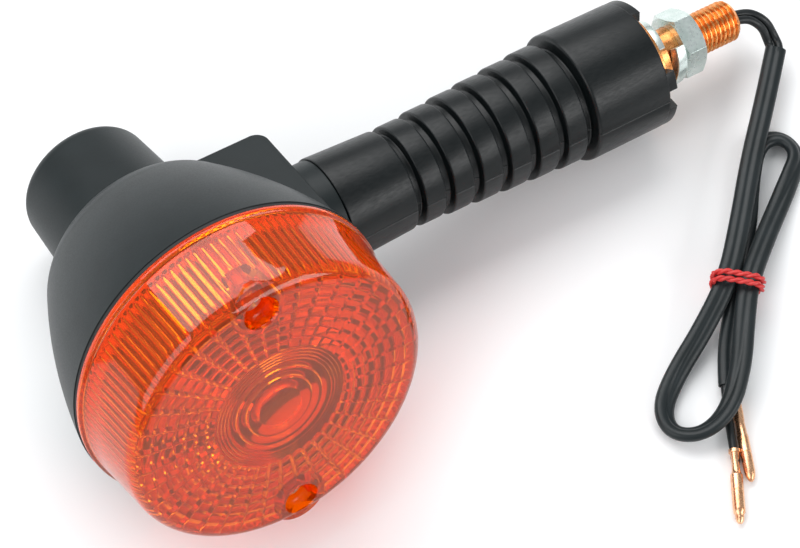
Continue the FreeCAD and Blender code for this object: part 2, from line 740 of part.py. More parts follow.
def rib_outline():
    """Ribs and grooves of the rubber, each rib a little larger than the last."""
    points = [("sleeve_end_station", "rib_radius - groove_depth")]
    count = int(size("rib_count"))
    for rib in range(count):
        left = "rib_start + %d * rib_pitch" % rib
        right = left + " + rib_width"
        radius = "rib_radius + %d * rib_growth" % rib
        points += [(left, radius + " - groove_depth"), (left, radius),
                   (right, radius), (right, radius + " - groove_depth")]
    points.append(("end_start", "rib_radius + %d * rib_growth - groove_depth" % (count - 1)))
    return points


def make_rubber_stem(rest):
    """One rubber moulding: spigot, plain sleeve, ribs, big end and its locating lugs."""
    body = new_body("rubber_stem")
    outline = [
        ("spigot_station", "shank_radius + rubber_gap"), ("spigot_station", "spigot_radius"),
        ("sleeve_station", "spigot_radius"), ("sleeve_station", "sleeve_radius"),
        ("sleeve_end_station", "sleeve_end_radius"),
    ]
    outline += rib_outline()
    outline += [
        ("end_start", "end_radius"), ("end_face_station", "end_face_radius"),
        ("end_face_station", "plate_radius + rubber_gap"),
        ("plate_station - rubber_gap", "plate_radius + rubber_gap"),
        ("plate_station - rubber_gap", "shank_radius + rubber_gap"),
        ("stud_root_station - rubber_gap", "shank_radius + rubber_gap"),
        ("stud_root_station - rubber_gap", "wire_bore"),
        ("inner_stud_end + rubber_gap", "wire_bore"),
        ("inner_stud_end + rubber_gap", "shank_radius + rubber_gap"),
        ("inner_plate_end + rubber_gap", "shank_radius + rubber_gap"),
        ("inner_plate_end + rubber_gap", "inner_plate_radius + rubber_gap"),
        ("inner_plate_station - rubber_gap", "inner_plate_radius + rubber_gap"),
        ("inner_plate_station - rubber_gap", "shank_radius + rubber_gap"),
    ]
    turned(body, "rubber", outline, "stem")
    for index, angles in enumerate(STEM_LUGS):
        lug = sketch_on(body, "lug_outline_%d" % index, "YZ_Plane", "end_face_station - 0.5")
        draw_outline(lug, sector_outline(angles, "lug_inner", "end_face_radius"))
        padded(body, "lug_%d" % index, lug, "lug_height + 0.5")
    return finish_subpart(body, "rubber_stem", rest)


def make_mounting_stud(rest):
    """Hollow threaded stud with its bonded plate and a stepped collar."""
    body = new_body("mounting_stud")
    turned(body, "stud", [
        ("stud_root_station", "stud_bore"), ("stud_root_station", "shank_radius"),
        ("plate_station", "shank_radius"), ("plate_station", "plate_radius"),
        ("plate_front_station", "plate_radius"), ("plate_front_station", "collar_radius"),
        ("collar_station", "collar_radius"), ("collar_station", "shank_radius"),
        ("shank_end_station", "shank_radius"), ("shank_end_station", "thread_radius"),
        ("stud_end_station - thread_chamfer", "thread_radius"),
        ("stud_end_station", "thread_radius - thread_chamfer"), ("stud_end_station", "stud_bore"),
    ], "stem")
    notch = sketch_on(body, "notch_outline", "YZ_Plane", "notch_station")
    draw_outline(notch, sector_outline(NOTCH_SECTOR, "shank_radius", "notch_outer"))
    padded(body, "collar_notch", notch, "collar_station + 1 - notch_station", cut=True, back=True)
    return finish_subpart(body, "mounting_stud", rest)


def make_inner_stud(rest):
    """The same hollow stud at the lamp's end, bonded in the rubber's spigot."""
    turned_piece("inner_stud", [
        ("inner_stud_station", "stud_bore"), ("inner_stud_station", "shank_radius"),
        ("inner_plate_station", "shank_radius"), ("inner_plate_station", "inner_plate_radius"),
        ("inner_plate_end", "inner_plate_radius"), ("inner_plate_end", "shank_radius"),
        ("inner_stud_end", "shank_radius"), ("inner_stud_end", "stud_bore"),
    ], "stem", rest)
    turned_piece("inner_washer", [
        ("inner_washer_station", "inner_washer_hole"), ("inner_washer_station", "inner_washer_radius"),
        ("inner_washer_station + inner_washer_height", "inner_washer_radius"),
        ("inner_washer_station + inner_washer_height", "inner_washer_hole"),
    ], "stem", rest)


def make_nut(node, station, height, rest):
    """A hexagon with both faces' corners turned off, and its bore."""
    prism = doc.addObject("Part::Prism", node + "_hexagon")
    prism.Polygon = 6
    prism.Placement = Placement(Vector(), Rotation(Vector(0, 0, 1), OUTWARD)
                                * Rotation(Vector(0, 0, 1), size("nut_turn")))
    bind(prism, "Circumradius", "nut_flats / sqrt(3)")
    bind(prism, "Height", height)
    bind(prism, "Placement.Base.x", station)
    turn = new_body(node + "_turning")
    full = "nut_flats / sqrt(3) + 0.05"
    turned(turn, node + "_chamfers", [
        (station, "0"), (station, "nut_chamfer_radius"), ("%s + nut_chamfer" % station, full),
        ("%s + %s - nut_chamfer" % (station, height), full),
        ("%s + %s" % (station, height), "nut_chamfer_radius"), ("%s + %s" % (station, height), "0"),
    ], "stem")
    common = doc.addObject("Part::MultiCommon", node + "_blank")
    common.Shapes = [prism, turn]
    bore = rod(node + "_bore", "nut_bore", height + " + 2", (station + " - 1", "0", "0"), OUTWARD)
    return finish_subpart(cut_from(node, common, bore), node, rest)


def make_lock_washer(rest):
    """Split spring washer: one left-hand turn of a square section, its ends offset."""
    inner, outer = size("washer_inner"), size("washer_outer")
    half = size("washer_height") / 2
    pitch = size("washer_rise") * 360 / WASHER_SWEEP
    helix = Part.makeHelix(pitch, size("washer_rise"), (inner + outer) / 2, 0, True)
    corners = [Vector(radius, 0, side) for radius, side in
               ((inner, -half), (outer, -half), (outer, half), (inner, half))]
    section = Part.makePolygon(corners + corners[:1])
    washer = swept(Part.Wire(helix.Edges), section)
    washer.rotate(Vector(), Vector(0, 1, 0), 90)
    washer.rotate(Vector(), Vector(1, 0, 0), 270 - WASHER_START)
    washer.translate(Vector(size("washer_station"), 0, 0))
    shaped("lock_washer", washer, rest)


# ---------------------------------------------------------------- leads, cord and tie

def route_path(route, name=None):
    """Straight runs joined by tangent arcs, each as large as its two runs allow."""
    points = [Vector(*point) for point in route]
    edges, radii, here = [], [], points[0]
    for before, corner, after in zip(points, points[1:], points[2:]):
        arriving, leaving = (corner - before), (after - corner)
        reach = 0.45 * min(arriving.Length, leaving.Length)
        half_turn = arriving.getAngle(leaving) / 2
        radii.append(reach / math.tan(half_turn))
        arriving.normalize()
        leaving.normalize()
        start, end = corner - arriving * reach, corner + leaving * reach
        inward = (leaving - arriving).normalize()
        middle = corner + inward * radii[-1] * (1 / math.cos(half_turn) - 1)
        edges.append(Part.LineSegment(here, start).toShape())
        edges.append(Part.Arc(start, middle, end).toShape())
        here = end
    edges.append(Part.LineSegment(here, points[-1]).toShape())
    if name:
        print(name, "radii:", [round(radius, 1) for radius in radii])
    return Part.Wire(edges)


def tube_along(path, diameter, name):
    """A round tube along a path, with its volume compared to section times length."""
    start = path.Edges[0]
    heading = start.tangentAt(start.FirstParameter)
    ring = Part.Wire(Part.makeCircle(diameter / 2, start.valueAt(start.FirstParameter), heading))
    pipe = Part.BRepOffsetAPI.MakePipeShell(path)
    pipe.setTransitionMode(0)
    pipe.add(ring)
    pipe.build()
    pipe.makeSolid()
    solid = Part.Solid(pipe.shape().Shells[0])
    expected = math.pi * diameter ** 2 / 4 * path.Length
    print("%s: %.1f mm long, volume ratio %.4f" % (name, path.Length, solid.Volume / expected))
    return solid


def beside(points, reach):
    """A level route beside another, to the right of its heading by a reach."""
    points = [Vector(*point) for point in points]
    headings = [(after - before).normalize() for before, after in zip(points, points[1:])]
    moved = []
    for point, before, after in zip(points, headings[:1] + headings, headings + headings[-1:]):
        level = (Vector(before.x, before.y, 0).normalize() + Vector(after.x, after.y, 0).normalize())
        stretch = 2 / level.Length
        level.normalize()
        moved.append(point + Vector(level.y, -level.x, 0) * reach * stretch)
    return moved


def make_inner_leads(rest):
    """Two leads from the socket's ring past the bulb and through the hollow stem."""
    centre = INNER_ROUTE + ((size("stud_end_station"), 0, 0),)
    for node, sign in (("live_lead", -1), ("earth_lead", 1)):
        path = route_path(beside(centre, sign * size("lead_spacing")), node)
        shaped(node, tube_along(path, size("lead_diameter"), node), rest)


def make_exit_leads(rest):
    """The same two leads in the open, from the stud's end to the sheath's mouth."""
    mouth, after = Vector(*SHEATH_ROUTE[0]), Vector(*SHEATH_ROUTE[1])
    last = mouth - (after - mouth).normalize() * size("lead_gap")
    station = size("stud_end_station")
    for node, sign in (("live_exit_lead", -1), ("earth_exit_lead", 1)):
        reach = sign * size("exit_spacing")
        route = beside(EXIT_BEND + (tuple(last),), reach)
        side = Vector(0, -sign * size("lead_spacing"), 0)
        start = rest.multVec(Vector(station + size("lead_gap"), 0, 0) + side)
        run = size("exit_run") - 0.5 * reach
        route[0] = rest.multVec(Vector(station + run, 0, 0) + side)
        path = route_path([start] + route, node)
        shaped(node, tube_along(path, size("lead_diameter"), node), Placement())


def make_sheath():
    path = route_path(SHEATH_ROUTE, "cable_sheath")
    shaped("cable_sheath", tube_along(path, size("sheath_diameter"), "cable_sheath"), Placement())


def straight_rod(start, end, radius):
    axis = end - start
    return Part.makeCylinder(radius, axis.Length, start, axis)


def make_terminal(node, points, step_radius):
    """A crimp and the bullet that follows it."""
    first, step, tip = [Vector(*point) for point in points]
    first = first + (step - first).normalize() * 2 * size("lead_gap")
    crimp = straight_rod(first, step, size("crimp_radius"))
    bullet = straight_rod(step, tip, step_radius)
    shaped(node, crimp.fuse(bullet), Placement())


def make_end_leads():
    """The leads' last stretch beyond the sheath, and a bullet terminal on each."""
    before, mouth = Vector(*SHEATH_ROUTE[-2]), Vector(*SHEATH_ROUTE[-1])
    start = mouth + (mouth - before).normalize() * 2 * size("lead_gap")
    left, right = [beside((before, start), sign * size("lead_spacing"))[1] for sign in (-1, 1)]
    path = route_path([right, END_BEND, TERMINAL_ONE[0]], "live_end_lead")
    shaped("live_end_lead", tube_along(path, size("lead_diameter"), "live_end_lead"), Placement())
    lead = straight_rod(left, Vector(*TERMINAL_TWO[0]), size("lead_diameter") / 2)
    shaped("earth_end_lead", lead, Placement())
    make_terminal("live_bullet", TERMINAL_ONE, size("bullet_radius"))
    make_terminal("earth_bullet", TERMINAL_TWO, size("barrel_radius"))


def band_wire(centres, radius):
    """The closed line of a band stretched round circles of one radius."""
    edges = []
    count = len(centres)
    normals = []
    for index in range(count):
        along = (centres[(index + 1) % count] - centres[index]).normalize()
        normals.append(Vector(along.y, -along.x, 0))
    for index, centre in enumerate(centres):
        before, after = normals[index - 1], normals[index]
        middle = (before + after).normalize()
        edges.append(Part.Arc(centre + before * radius, centre + middle * radius,
                              centre + after * radius).toShape())
        following = centres[(index + 1) % count]
        edges.append(Part.LineSegment(centre + after * radius, following + after * radius).toShape())
    return Part.Wire(edges)


def make_tie():
    """Three touching turns of a soft wire that bind the cord's runs together."""
    along = Vector(BUNDLE_DIRECTION[0], BUNDLE_DIRECTION[1], 0).normalize()
    across = Vector(-along.y, along.x, 0)
    strand = size("band_radius")
    reach = size("sheath_diameter") / 2 + size("band_clearance") + strand
    frame = Rotation(across, Vector(0, 0, 1), along, "ZXY")
    centres = [Vector(*run, 0) for run in reversed(BUNDLE_RUNS)]
    wire = band_wire(centres, reach)
    rings = []
    for turn in (-1, 0, 1):
        start = wire.Edges[0]
        heading = start.tangentAt(start.FirstParameter)
        section = Part.Wire(Part.makeCircle(strand, start.valueAt(start.FirstParameter), heading))
        pipe = Part.BRepOffsetAPI.MakePipeShell(wire)
        pipe.add(section)
        pipe.build()
        pipe.makeSolid()
        ring = Part.Solid(pipe.shape().Shells[0])
        middle = Vector(BUNDLE[0], BUNDLE[1], 0) + along * turn * size("band_pitch")
        ring.Placement = Placement(middle, frame)
        rings.append(ring)
    shaped("cable_tie", rings[0].multiFuse(rings[1:]), Placement())


# ---------------------------------------------------------------- build, test and write

def check_document():
    """Stop on any failed object, or on a sub-part with no valid solid."""
    for thing in doc.Objects:
        if {"Invalid", "Error"} & set(thing.State):
            raise RuntimeError("%s is %s" % (thing.Label, thing.State))
    for thing in SUBPARTS:
        if thing.Shape.isNull() or not thing.Shape.isValid() or not thing.Shape.Solids:
            raise RuntimeError("%s has no valid solid" % thing.Label)


def report_box():
    """Print the resting box without the cord, which the origin is set by."""
    cord = ("exit_lead", "end_lead", "bullet", "cable_")
    box = FreeCAD.BoundBox()
    for thing in SUBPARTS:
        if not any(word in thing.Label for word in cord):
            points, _ = thing.Shape.tessellate(0.02)
            for point in points:
                box.add(point)
    print("box x %.2f..%.2f y %.2f..%.2f z %.2f..%.2f"
          % (box.XMin, box.XMax, box.YMin, box.YMax, box.ZMin, box.ZMax))


def main():
    make_sheet()
    rest = resting_pose()
    make_housing(rest)
    make_lens(rest)
    make_gasket(rest)
    make_screw("upper_lens_screw", SCREWS[0], rest)
    make_screw("lower_lens_screw", SCREWS[1], rest)
    make_reflector(rest)
    make_bulb(rest)
    make_socket(rest)
    make_rubber_stem(rest)
    make_mounting_stud(rest)
    make_inner_stud(rest)
    make_nut("inner_nut", "inner_nut_station", "inner_nut_height", rest)
    make_lock_washer(rest)
    make_nut("hex_nut", "nut_station", "nut_height", rest)
    make_inner_leads(rest)
    make_exit_leads(rest)
    make_sheath()
    make_end_leads()
    make_tie()
    doc.recompute()
    check_document()
    report_box()
    os.makedirs("parts", exist_ok=True)
    for thing in SUBPARTS:
        thing.Shape.exportStep("parts/%s.step" % thing.Label)
        print("%-18s %d solid(s) %9.1f mm3" % (thing.Label, len(thing.Shape.Solids), thing.Shape.Volume))


main()
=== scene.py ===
import json
import math

import bmesh
import bpy
from mathutils import Matrix, Vector


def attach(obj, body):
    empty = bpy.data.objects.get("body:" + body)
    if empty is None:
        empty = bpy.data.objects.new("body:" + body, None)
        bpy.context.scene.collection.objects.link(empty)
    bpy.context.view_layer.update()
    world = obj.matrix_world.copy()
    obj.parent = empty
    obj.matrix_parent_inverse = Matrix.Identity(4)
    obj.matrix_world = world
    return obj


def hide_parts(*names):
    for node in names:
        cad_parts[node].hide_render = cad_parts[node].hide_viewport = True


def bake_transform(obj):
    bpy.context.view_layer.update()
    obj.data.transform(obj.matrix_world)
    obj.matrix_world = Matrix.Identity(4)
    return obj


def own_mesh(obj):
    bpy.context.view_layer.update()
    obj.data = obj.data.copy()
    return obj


# Looks of a motorcycle turn signal indicator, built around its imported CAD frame.
#
# Pieces of the lamp and the stem are drawn in the lamp frame, in millimetres: X along the
# stem ("station"), -Y along the lens axis ("ahead") and Z square to both. The cord is
# drawn in the row frame, in millimetres, from the route of its CAD solids with a few
# points moved.

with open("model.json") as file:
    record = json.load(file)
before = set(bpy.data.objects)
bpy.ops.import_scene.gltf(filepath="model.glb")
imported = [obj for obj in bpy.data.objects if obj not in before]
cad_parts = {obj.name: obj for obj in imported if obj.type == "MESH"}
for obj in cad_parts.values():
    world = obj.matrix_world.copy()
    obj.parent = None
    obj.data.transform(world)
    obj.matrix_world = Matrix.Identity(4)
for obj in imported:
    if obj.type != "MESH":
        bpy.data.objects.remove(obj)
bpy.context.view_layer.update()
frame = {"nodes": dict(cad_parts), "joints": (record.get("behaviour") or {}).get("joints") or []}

MM = 0.001
JOINTS = {joint["name"]: joint for joint in frame["joints"]}
STEM = Vector(JOINTS["nut_travel"]["axis"]).normalized()
AHEAD = Vector(JOINTS["lens_slide"]["axis"]).normalized()
HINGE_STATION = 79.0
ORIGIN = Vector(JOINTS["stem_flex"]["pos_m"]) - STEM * HINGE_STATION * MM
LAMP = (Matrix.Translation(ORIGIN) @ Matrix((STEM, -AHEAD, STEM.cross(-AHEAD))).transposed().to_4x4()
        @ Matrix.Scale(MM, 4))
ROW = Matrix.Scale(MM, 4)

SHEATH_ROUTE = (
    (98.1, -4.0, 5.8), (88.9, -13.3, 5.8), (76.4, -25.1, 6.7), (65.4, -36.8, 7.2),
    (54.5, -47.6, 7.7), (43.9, -53.9, 4.6), (33.9, -58.8, 2.4), (26.5, -64.1, 2.1),
    (25.2, -70.2, 2.1), (30.6, -74.1, 3.2), (38.0, -73.0, 5.8), (45.8, -65.8, 6.8),
    (52.1, -57.6, 7.4), (58.2, -50.3, 7.8), (67.6, -43.1, 5.2), (76.5, -36.8, 2.6),
    (83.4, -31.9, 2.1), (88.8, -27.7, 2.1), (87.7, -21.8, 2.1), (81.7, -20.6, 2.1),
    (75.0, -27.7, 2.1), (68.2, -36.5, 2.5), (59.5, -45.8, 4.0), (52.3, -54.0, 3.8),
    (46.3, -60.8, 2.2), (42.5, -67.1, 2.1),
)
EXIT_BEND = ((93.8, 5.3, 12.0), (97.6, 1.6, 10.3), (98.6, -1.3, 6.1))
END_BEND = (38.1, -73.3, 1.6)
TERMINAL_ONE = ((34.4, -81.3, 1.4), (26.6, -94.8, 1.4))
TERMINAL_TWO = ((41.5, -71.4, 1.5), (34.2, -88.1, 1.4))
BUNDLE = Vector((56.21, -49.0, 0))
BUNDLE_ALONG = Vector((-0.68, -0.733, 0)).normalized()
BUNDLE_RUNS = ((-2.54, 7.28), (2.57, 7.54), (0.36, 3.91))
STUD_END = 146.5
LEAD_SPACING = 1.0
LEAD_RADIUS = 0.98


# ---------------------------------------------------------------- meshes

def mesh_piece(name, points, faces, matrix, sharp=35):
    """A smooth-shaded object from points in millimetres, with sharp edges kept sharp."""
    mesh = bpy.data.meshes.new(name)
    mesh.from_pydata([matrix @ Vector(point) for point in points], [], faces)
    work = bmesh.new()
    work.from_mesh(mesh)
    bmesh.ops.remove_doubles(work, verts=work.verts, dist=1e-7)
    bmesh.ops.recalc_face_normals(work, faces=work.faces)
    work.to_mesh(mesh)
    work.free()
    mesh.shade_smooth()
    mesh.set_sharp_from_angle(angle=math.radians(sharp))
    thing = bpy.data.objects.new(name, mesh)
    bpy.context.scene.collection.objects.link(thing)
    return thing


def grid_faces(rows, columns, close_rows=False):
    """Quads between the rows of a grid of points, each row closed on itself."""
    faces = []
    for row in range(rows if close_rows else rows - 1):
        after = (row + 1) % rows
        for column in range(columns):
            beside = (column + 1) % columns
            faces.append((row * columns + column, row * columns + beside,
                          after * columns + beside, after * columns + column))
    return faces


def on_stem(station, radius, angle):
    """A lamp-frame place round the stem's axis."""
    return (station, -radius * math.cos(angle), radius * math.sin(angle))


def on_lens(ahead, radius, angle):
    """A lamp-frame place round the lens's axis."""
    return (radius * math.cos(angle), -ahead, radius * math.sin(angle))


def rounded(corners, steps=5):
    """An outline whose (x, y, reach) corners are rounded over that reach."""
    out = []
    count = len(corners)
    for index, corner in enumerate(corners):
        here = Vector(corner[:2])
        reach = corner[2] if len(corner) > 2 else 0
        if not reach:
            out.append(tuple(here))
            continue
        before = (Vector(corners[index - 1][:2]) - here)
        after = (Vector(corners[(index + 1) % count][:2]) - here)
        start = here + before.normalized() * min(reach, before.length * 0.49)
        end = here + after.normalized() * min(reach, after.length * 0.49)
        for step in range(steps + 1):
            share = step / steps
            out.append(tuple(start * (1 - share) ** 2 + here * 2 * share * (1 - share) + end * share ** 2))
    return out


def turned(outline, place, columns=96, closed=True, angles=None):
    """Points and faces of an outline of (along, radius) turned about an axis."""
    angles = angles or [2 * math.pi * column / columns for column in range(columns)]
    points = [place(along, radius, angle) for along, radius in outline for angle in angles]
    return points, grid_faces(len(outline), len(angles), close_rows=closed)


def sector(start, end, low, high, inner, outer, columns=40):
    """A block of a ring between two angles, in degrees."""
    outline = rounded([(low, inner), (low, outer, 0.12), (high, outer, 0.25), (high, inner, 0.2)], 3)
    points = []
    for column in range(columns + 1):
        angle = math.radians(start + (end - start) * column / columns)
        points += [on_stem(along, radius, angle) for along, radius in outline]
    faces = grid_faces(columns + 1, len(outline))
    faces.append(tuple(range(len(outline))))
    faces.append(tuple(columns * len(outline) + place for place in range(len(outline))))
    return points, faces


def together(*parts):
    """Several (points, faces) as one."""
    points, faces = [], []
    for part_points, part_faces in parts:
        base = len(points)
        points += part_points
        faces += [tuple(base + place for place in face) for face in part_faces]
    return points, faces


def combined(thing, cutter, operation):
    """Apply a boolean between two meshes, and drop the cutter."""
    step = thing.modifiers.new("combine", "BOOLEAN")
    step.operation = operation
    step.object = cutter
    step.solver = "MANIFOLD"
    bpy.context.view_layer.update()
    graph = bpy.context.evaluated_depsgraph_get()
    mesh = bpy.data.meshes.new_from_object(thing.evaluated_get(graph))
    thing.modifiers.clear()
    thing.data = mesh
    bpy.data.objects.remove(cutter)


def finish_piece(thing, body, slot, material, *nodes):
    """Give a piece its material and its body, and hide the CAD nodes that it stands for; its slot is not
    used.
    """
    thing.data.materials.clear()
    thing.data.materials.append(material)
    if nodes:
        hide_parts(*nodes)
    if body:
        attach(thing, body)
    return thing


# ---------------------------------------------------------------- tubes and cords

def spline_path(route, bands=12):
    """Points along the NURBS spline that has the route as its control points."""
    curve = bpy.data.curves.new("route", "CURVE")
    curve.dimensions = "3D"
    curve.resolution_u = bands
    spline = curve.splines.new("NURBS")
    spline.points.add(len(route) - 1)
    for point, place in zip(spline.points, route):
        point.co = (*[c * MM for c in place], 1)
    spline.order_u = 3
    spline.use_endpoint_u = True
    holder = bpy.data.objects.new("route", curve)
    bpy.context.scene.collection.objects.link(holder)
    bpy.context.view_layer.update()
    mesh = bpy.data.meshes.new_from_object(holder.evaluated_get(bpy.context.evaluated_depsgraph_get()))
    path = [vertex.co / MM for vertex in mesh.vertices]
    bpy.data.objects.remove(holder)
    bpy.data.curves.remove(curve)
    bpy.data.meshes.remove(mesh)
    return path


def swept(path, section, twist=None, flat=Vector((0, 0, 1)), inset=0.0):
    """A section of (across, up) swept along a path, level unless it is twisted."""
    points = []
    count = len(path)
    for index, place in enumerate(path):
        before, after = path[max(index - 1, 0)], path[min(index + 1, count - 1)]
        heading = (after - before).normalized()
        across = heading.cross(flat).normalized()
        up = across.cross(heading)
        turn = twist(index / (count - 1)) if twist else 0
        side = across * math.cos(turn) + up * math.sin(turn)
        lift = up * math.cos(turn) - across * math.sin(turn)
        points += [place + side * x + lift * y for x, y in section]
    size = len(section)
    faces = grid_faces(count, size)
    if inset:
        points, faces = open_ends(points, faces, path, size, inset)
    else:
        faces.append(tuple(range(size)))
        faces.append(tuple(size * (count - 1) + place for place in range(size)))
    return points, faces


def open_ends(points, faces, path, size, inset):
    """Give a swept tube two hollow mouths, with a wall as thick as the inset."""
    count = len(path)
    for row, heading in ((0, path[1] - path[0]), (count - 1, path[-2] - path[-1])):
        heading = heading.normalized()
        rim = points[row * size:(row + 1) * size]
        rings = [list(range(row * size, (row + 1) * size))]
        for share, depth in ((0.35, -0.1), (1.0, 0.15), (1.05, 4.5)):
            ring = []
            for corner in rim:
                inward = (path[row] - corner)
                inward = inward.normalized() * min(inset * share, inward.length * 0.8)
                ring.append(len(points))
                points.append(corner + inward + heading * depth)
            rings.append(ring)
        for one, two in zip(rings, rings[1:]):
            faces += [(one[c], one[(c + 1) % size], two[(c + 1) % size], two[c]) for c in range(size)]
        faces.append(tuple(rings[-1]))
    return points, faces


def circle(radius, count=20):
    """A round section for a swept tube."""
    return [(radius * math.cos(2 * math.pi * i / count), radius * math.sin(2 * math.pi * i / count))
            for i in range(count)]


def sheath_section(half_width=2.42, half_height=1.45, count=40):
    """A flat oval with a shallow valley along its middle on both faces."""
    section = []
    for index in range(count):
        angle = 2 * math.pi * index / count
        across, rise = math.cos(angle), math.sin(angle)
        height = half_height * math.copysign(abs(rise) ** 0.8, rise)
        height *= 1 - 0.2 * math.exp(-(across * half_width / 0.5) ** 2)
        section.append((half_width * across, height))
    return section


def sheath_twist(share):
    """The flat cord leans onto its edge at each fold."""
    lean = 0
    for middle, width, angle in ((0.345, 0.10, 50), (0.705, 0.07, -50)):
        lean += math.radians(angle) * math.exp(-((share - middle) / width) ** 2)
    return lean


def beside(points, reach):
    """A level route beside another, to the right of its heading by a reach."""
    points = [Vector(point) for point in points]
    headings = [(after - before).normalized() for before, after in zip(points, points[1:])]
    moved = []
    for point, before, after in zip(points, headings[:1] + headings, headings + headings[-1:]):
        level = Vector((before.x, before.y, 0)).normalized() + Vector((after.x, after.y, 0)).normalized()
        stretch = 2 / level.length
        level.normalize()
        moved.append(point + Vector((level.y, -level.x, 0)) * reach * stretch)
    return moved


def in_row(place):
    """A lamp-frame place in the row frame, both in millimetres."""
    return (LAMP @ Vector(place)) / MM


def make_exit_lead(side):
    """One lead in the open, from the stud's end to the sheath's mouth."""
    reach = side * 1.15
    mouth, after = Vector(SHEATH_ROUTE[0]), Vector(SHEATH_ROUTE[1])
    last = mouth + (after - mouth).normalized() * 3
    route = beside(EXIT_BEND + (tuple(mouth), tuple(last)), reach * 0.9)
    start = in_row((STUD_END - 4, -side * LEAD_SPACING, 0))
    route[0] = in_row((STUD_END + 3.5 - 0.5 * reach, -side * LEAD_SPACING, 0))
    path = spline_path([start] + route)
    return swept(path, circle(LEAD_RADIUS))


def make_cord(looks):
    """The cord first: sheath, the leads at both its ends, and the bullets."""
    path = spline_path(SHEATH_ROUTE, 10)
    tube = swept(path, sheath_section(), sheath_twist, inset=0.42)
    sheath = mesh_piece("cable_sheath_piece", *tube, ROW, 50)
    finish_piece(sheath, "stem_mount", "sheath_pvc", looks["sheath_pvc"], "cable_sheath")
    pieces = []
    for name, side in (("live_exit_lead", -1), ("earth_exit_lead", 1)):
        lead = mesh_piece(name + "_piece", *make_exit_lead(side), ROW)
        finish_piece(lead, "stem_mount", "lead_pvc", looks["lead_pvc"], name)
        pieces.append(lead)
    pieces += make_end_leads(looks)
    pieces += [make_bullet("live_bullet", TERMINAL_ONE, LIVE_PROFILE, looks),
               make_bullet("earth_bullet", TERMINAL_TWO, EARTH_PROFILE, looks),
               make_tie(looks)]


def make_end_leads(looks):
    """The leads' last stretch beyond the sheath, each to its terminal."""
    before, mouth = Vector(SHEATH_ROUTE[-2]), Vector(SHEATH_ROUTE[-1])
    heading = (mouth - before).normalized()
    ends = []
    for name, side, route in (("live_end_lead", 1, [END_BEND, TERMINAL_ONE[0]]),
                              ("earth_end_lead", -1, [TERMINAL_TWO[0]])):
        start = beside((before, mouth), side * LEAD_SPACING)[1]
        last = Vector(route[-1])
        run = (last - Vector(route[-2] if len(route) > 1 else start)).normalized()
        places = [start - heading * 3, start] + [Vector(place) for place in route] + [last + run * 1.5]
        lead = mesh_piece(name + "_piece", *swept(spline_path(places), circle(0.95)), ROW)
        ends.append(finish_piece(lead, "stem_mount", "lead_pvc", looks["lead_pvc"], name))
    return ends


# Each bullet's outline: share of the way from the lead to the tip, and radius in mm.
LIVE_PROFILE = (
    (-0.10, 0.95), (-0.10, 1.3), (-0.05, 1.32), (-0.045, 1.12), (0.02, 1.05), (0.10, 0.95),
    (0.20, 0.98), (0.27, 1.2), (0.28, 1.36), (0.50, 1.38), (0.505, 1.26), (0.52, 1.26),
    (0.525, 1.38), (0.78, 1.36), (0.84, 1.30), (0.86, 1.02), (0.90, 0.98), (0.96, 0.85),
    (0.99, 0.55), (1.0, 0.0),
)
EARTH_PROFILE = (
    (-0.06, 0.95), (-0.06, 1.2), (0.02, 1.28), (0.12, 1.32), (0.22, 1.22), (0.24, 1.12),
    (0.40, 1.15), (0.42, 1.27), (0.62, 1.28), (0.625, 1.14), (0.64, 1.14), (0.645, 1.27),
    (0.86, 1.25), (0.93, 1.05), (0.97, 0.7), (0.99, 0.4), (1.0, 0.0),
)


def make_bullet(node, places, profile, looks):
    """A crimped bullet terminal turned about the line from its lead to its tip."""
    first, tip = [Vector(place) for place in places]
    run = tip - first
    heading = run.normalized()
    across = heading.cross(Vector((0, 0, 1))).normalized()
    up = across.cross(heading)
    columns = 28
    points = []
    for share, radius in ((profile[0][0], 0.0),) + profile:
        for column in range(columns):
            angle = 2 * math.pi * column / columns
            pinch = 1 - 0.14 * max(0, math.cos(2 * angle)) * (0.0 < share < 0.26)
            points.append(first + run * share + (across * math.cos(angle) * pinch
                                                 + up * math.sin(angle)) * radius)
    thing = mesh_piece(node + "_piece", points, grid_faces(len(profile) + 1, columns), ROW, 40)
    return finish_piece(thing, "stem_mount", "copper_terminal", looks["copper_terminal"], node)


def make_tie(looks):
    """Two soft strands twisted together, wound a little over twice round the cord's three runs."""
    across = Vector((-BUNDLE_ALONG.y, BUNDLE_ALONG.x, 0))
    reach, turns, steps = 2.98, 2.35, 60
    path = []
    for index in range(int(turns * steps)):
        angle = 2 * math.pi * index / steps + math.radians(200)
        way = Vector((math.cos(angle), math.sin(angle)))
        centre = max(BUNDLE_RUNS, key=lambda run: run[0] * way.x + run[1] * way.y)
        slide = (index / steps - turns / 2) * 1.75
        path.append(BUNDLE + across * (centre[0] + reach * way.x) + BUNDLE_ALONG * slide
                    + Vector((0, 0, max(centre[1] + reach * way.y, 0.9))))
    path = evened(path, 0.42)
    strands = []
    for phase in (0, math.pi):
        strand = [place + strand_offset(path, index, phase) for index, place in enumerate(path)]
        strands.append(swept(strand, circle(0.40, 10)))
    tie = mesh_piece("cable_tie_piece", *together(*strands), ROW)
    return finish_piece(tie, "stem_mount", "red_tie", looks["red_tie"], "cable_tie")


def evened(path, spacing):
    """The same line with its points evenly spaced."""
    out, left = [path[0]], spacing
    for before, after in zip(path, path[1:]):
        run = (after - before).length
        travelled = 0.0
        while run - travelled >= left:
            travelled += left
            out.append(before.lerp(after, travelled / run))
            left = spacing
        left -= run - travelled
    return out


def strand_offset(path, index, phase):
    """Where a strand is off the tie's middle line, as the two twist round each other."""
    before, after = path[max(index - 1, 0)], path[min(index + 1, len(path) - 1)]
    heading = (after - before).normalized()
    across = heading.cross(BUNDLE_ALONG).normalized()
    angle = index * 0.62 + phase
    return (across * math.cos(angle) + across.cross(heading) * math.sin(angle)) * 0.33


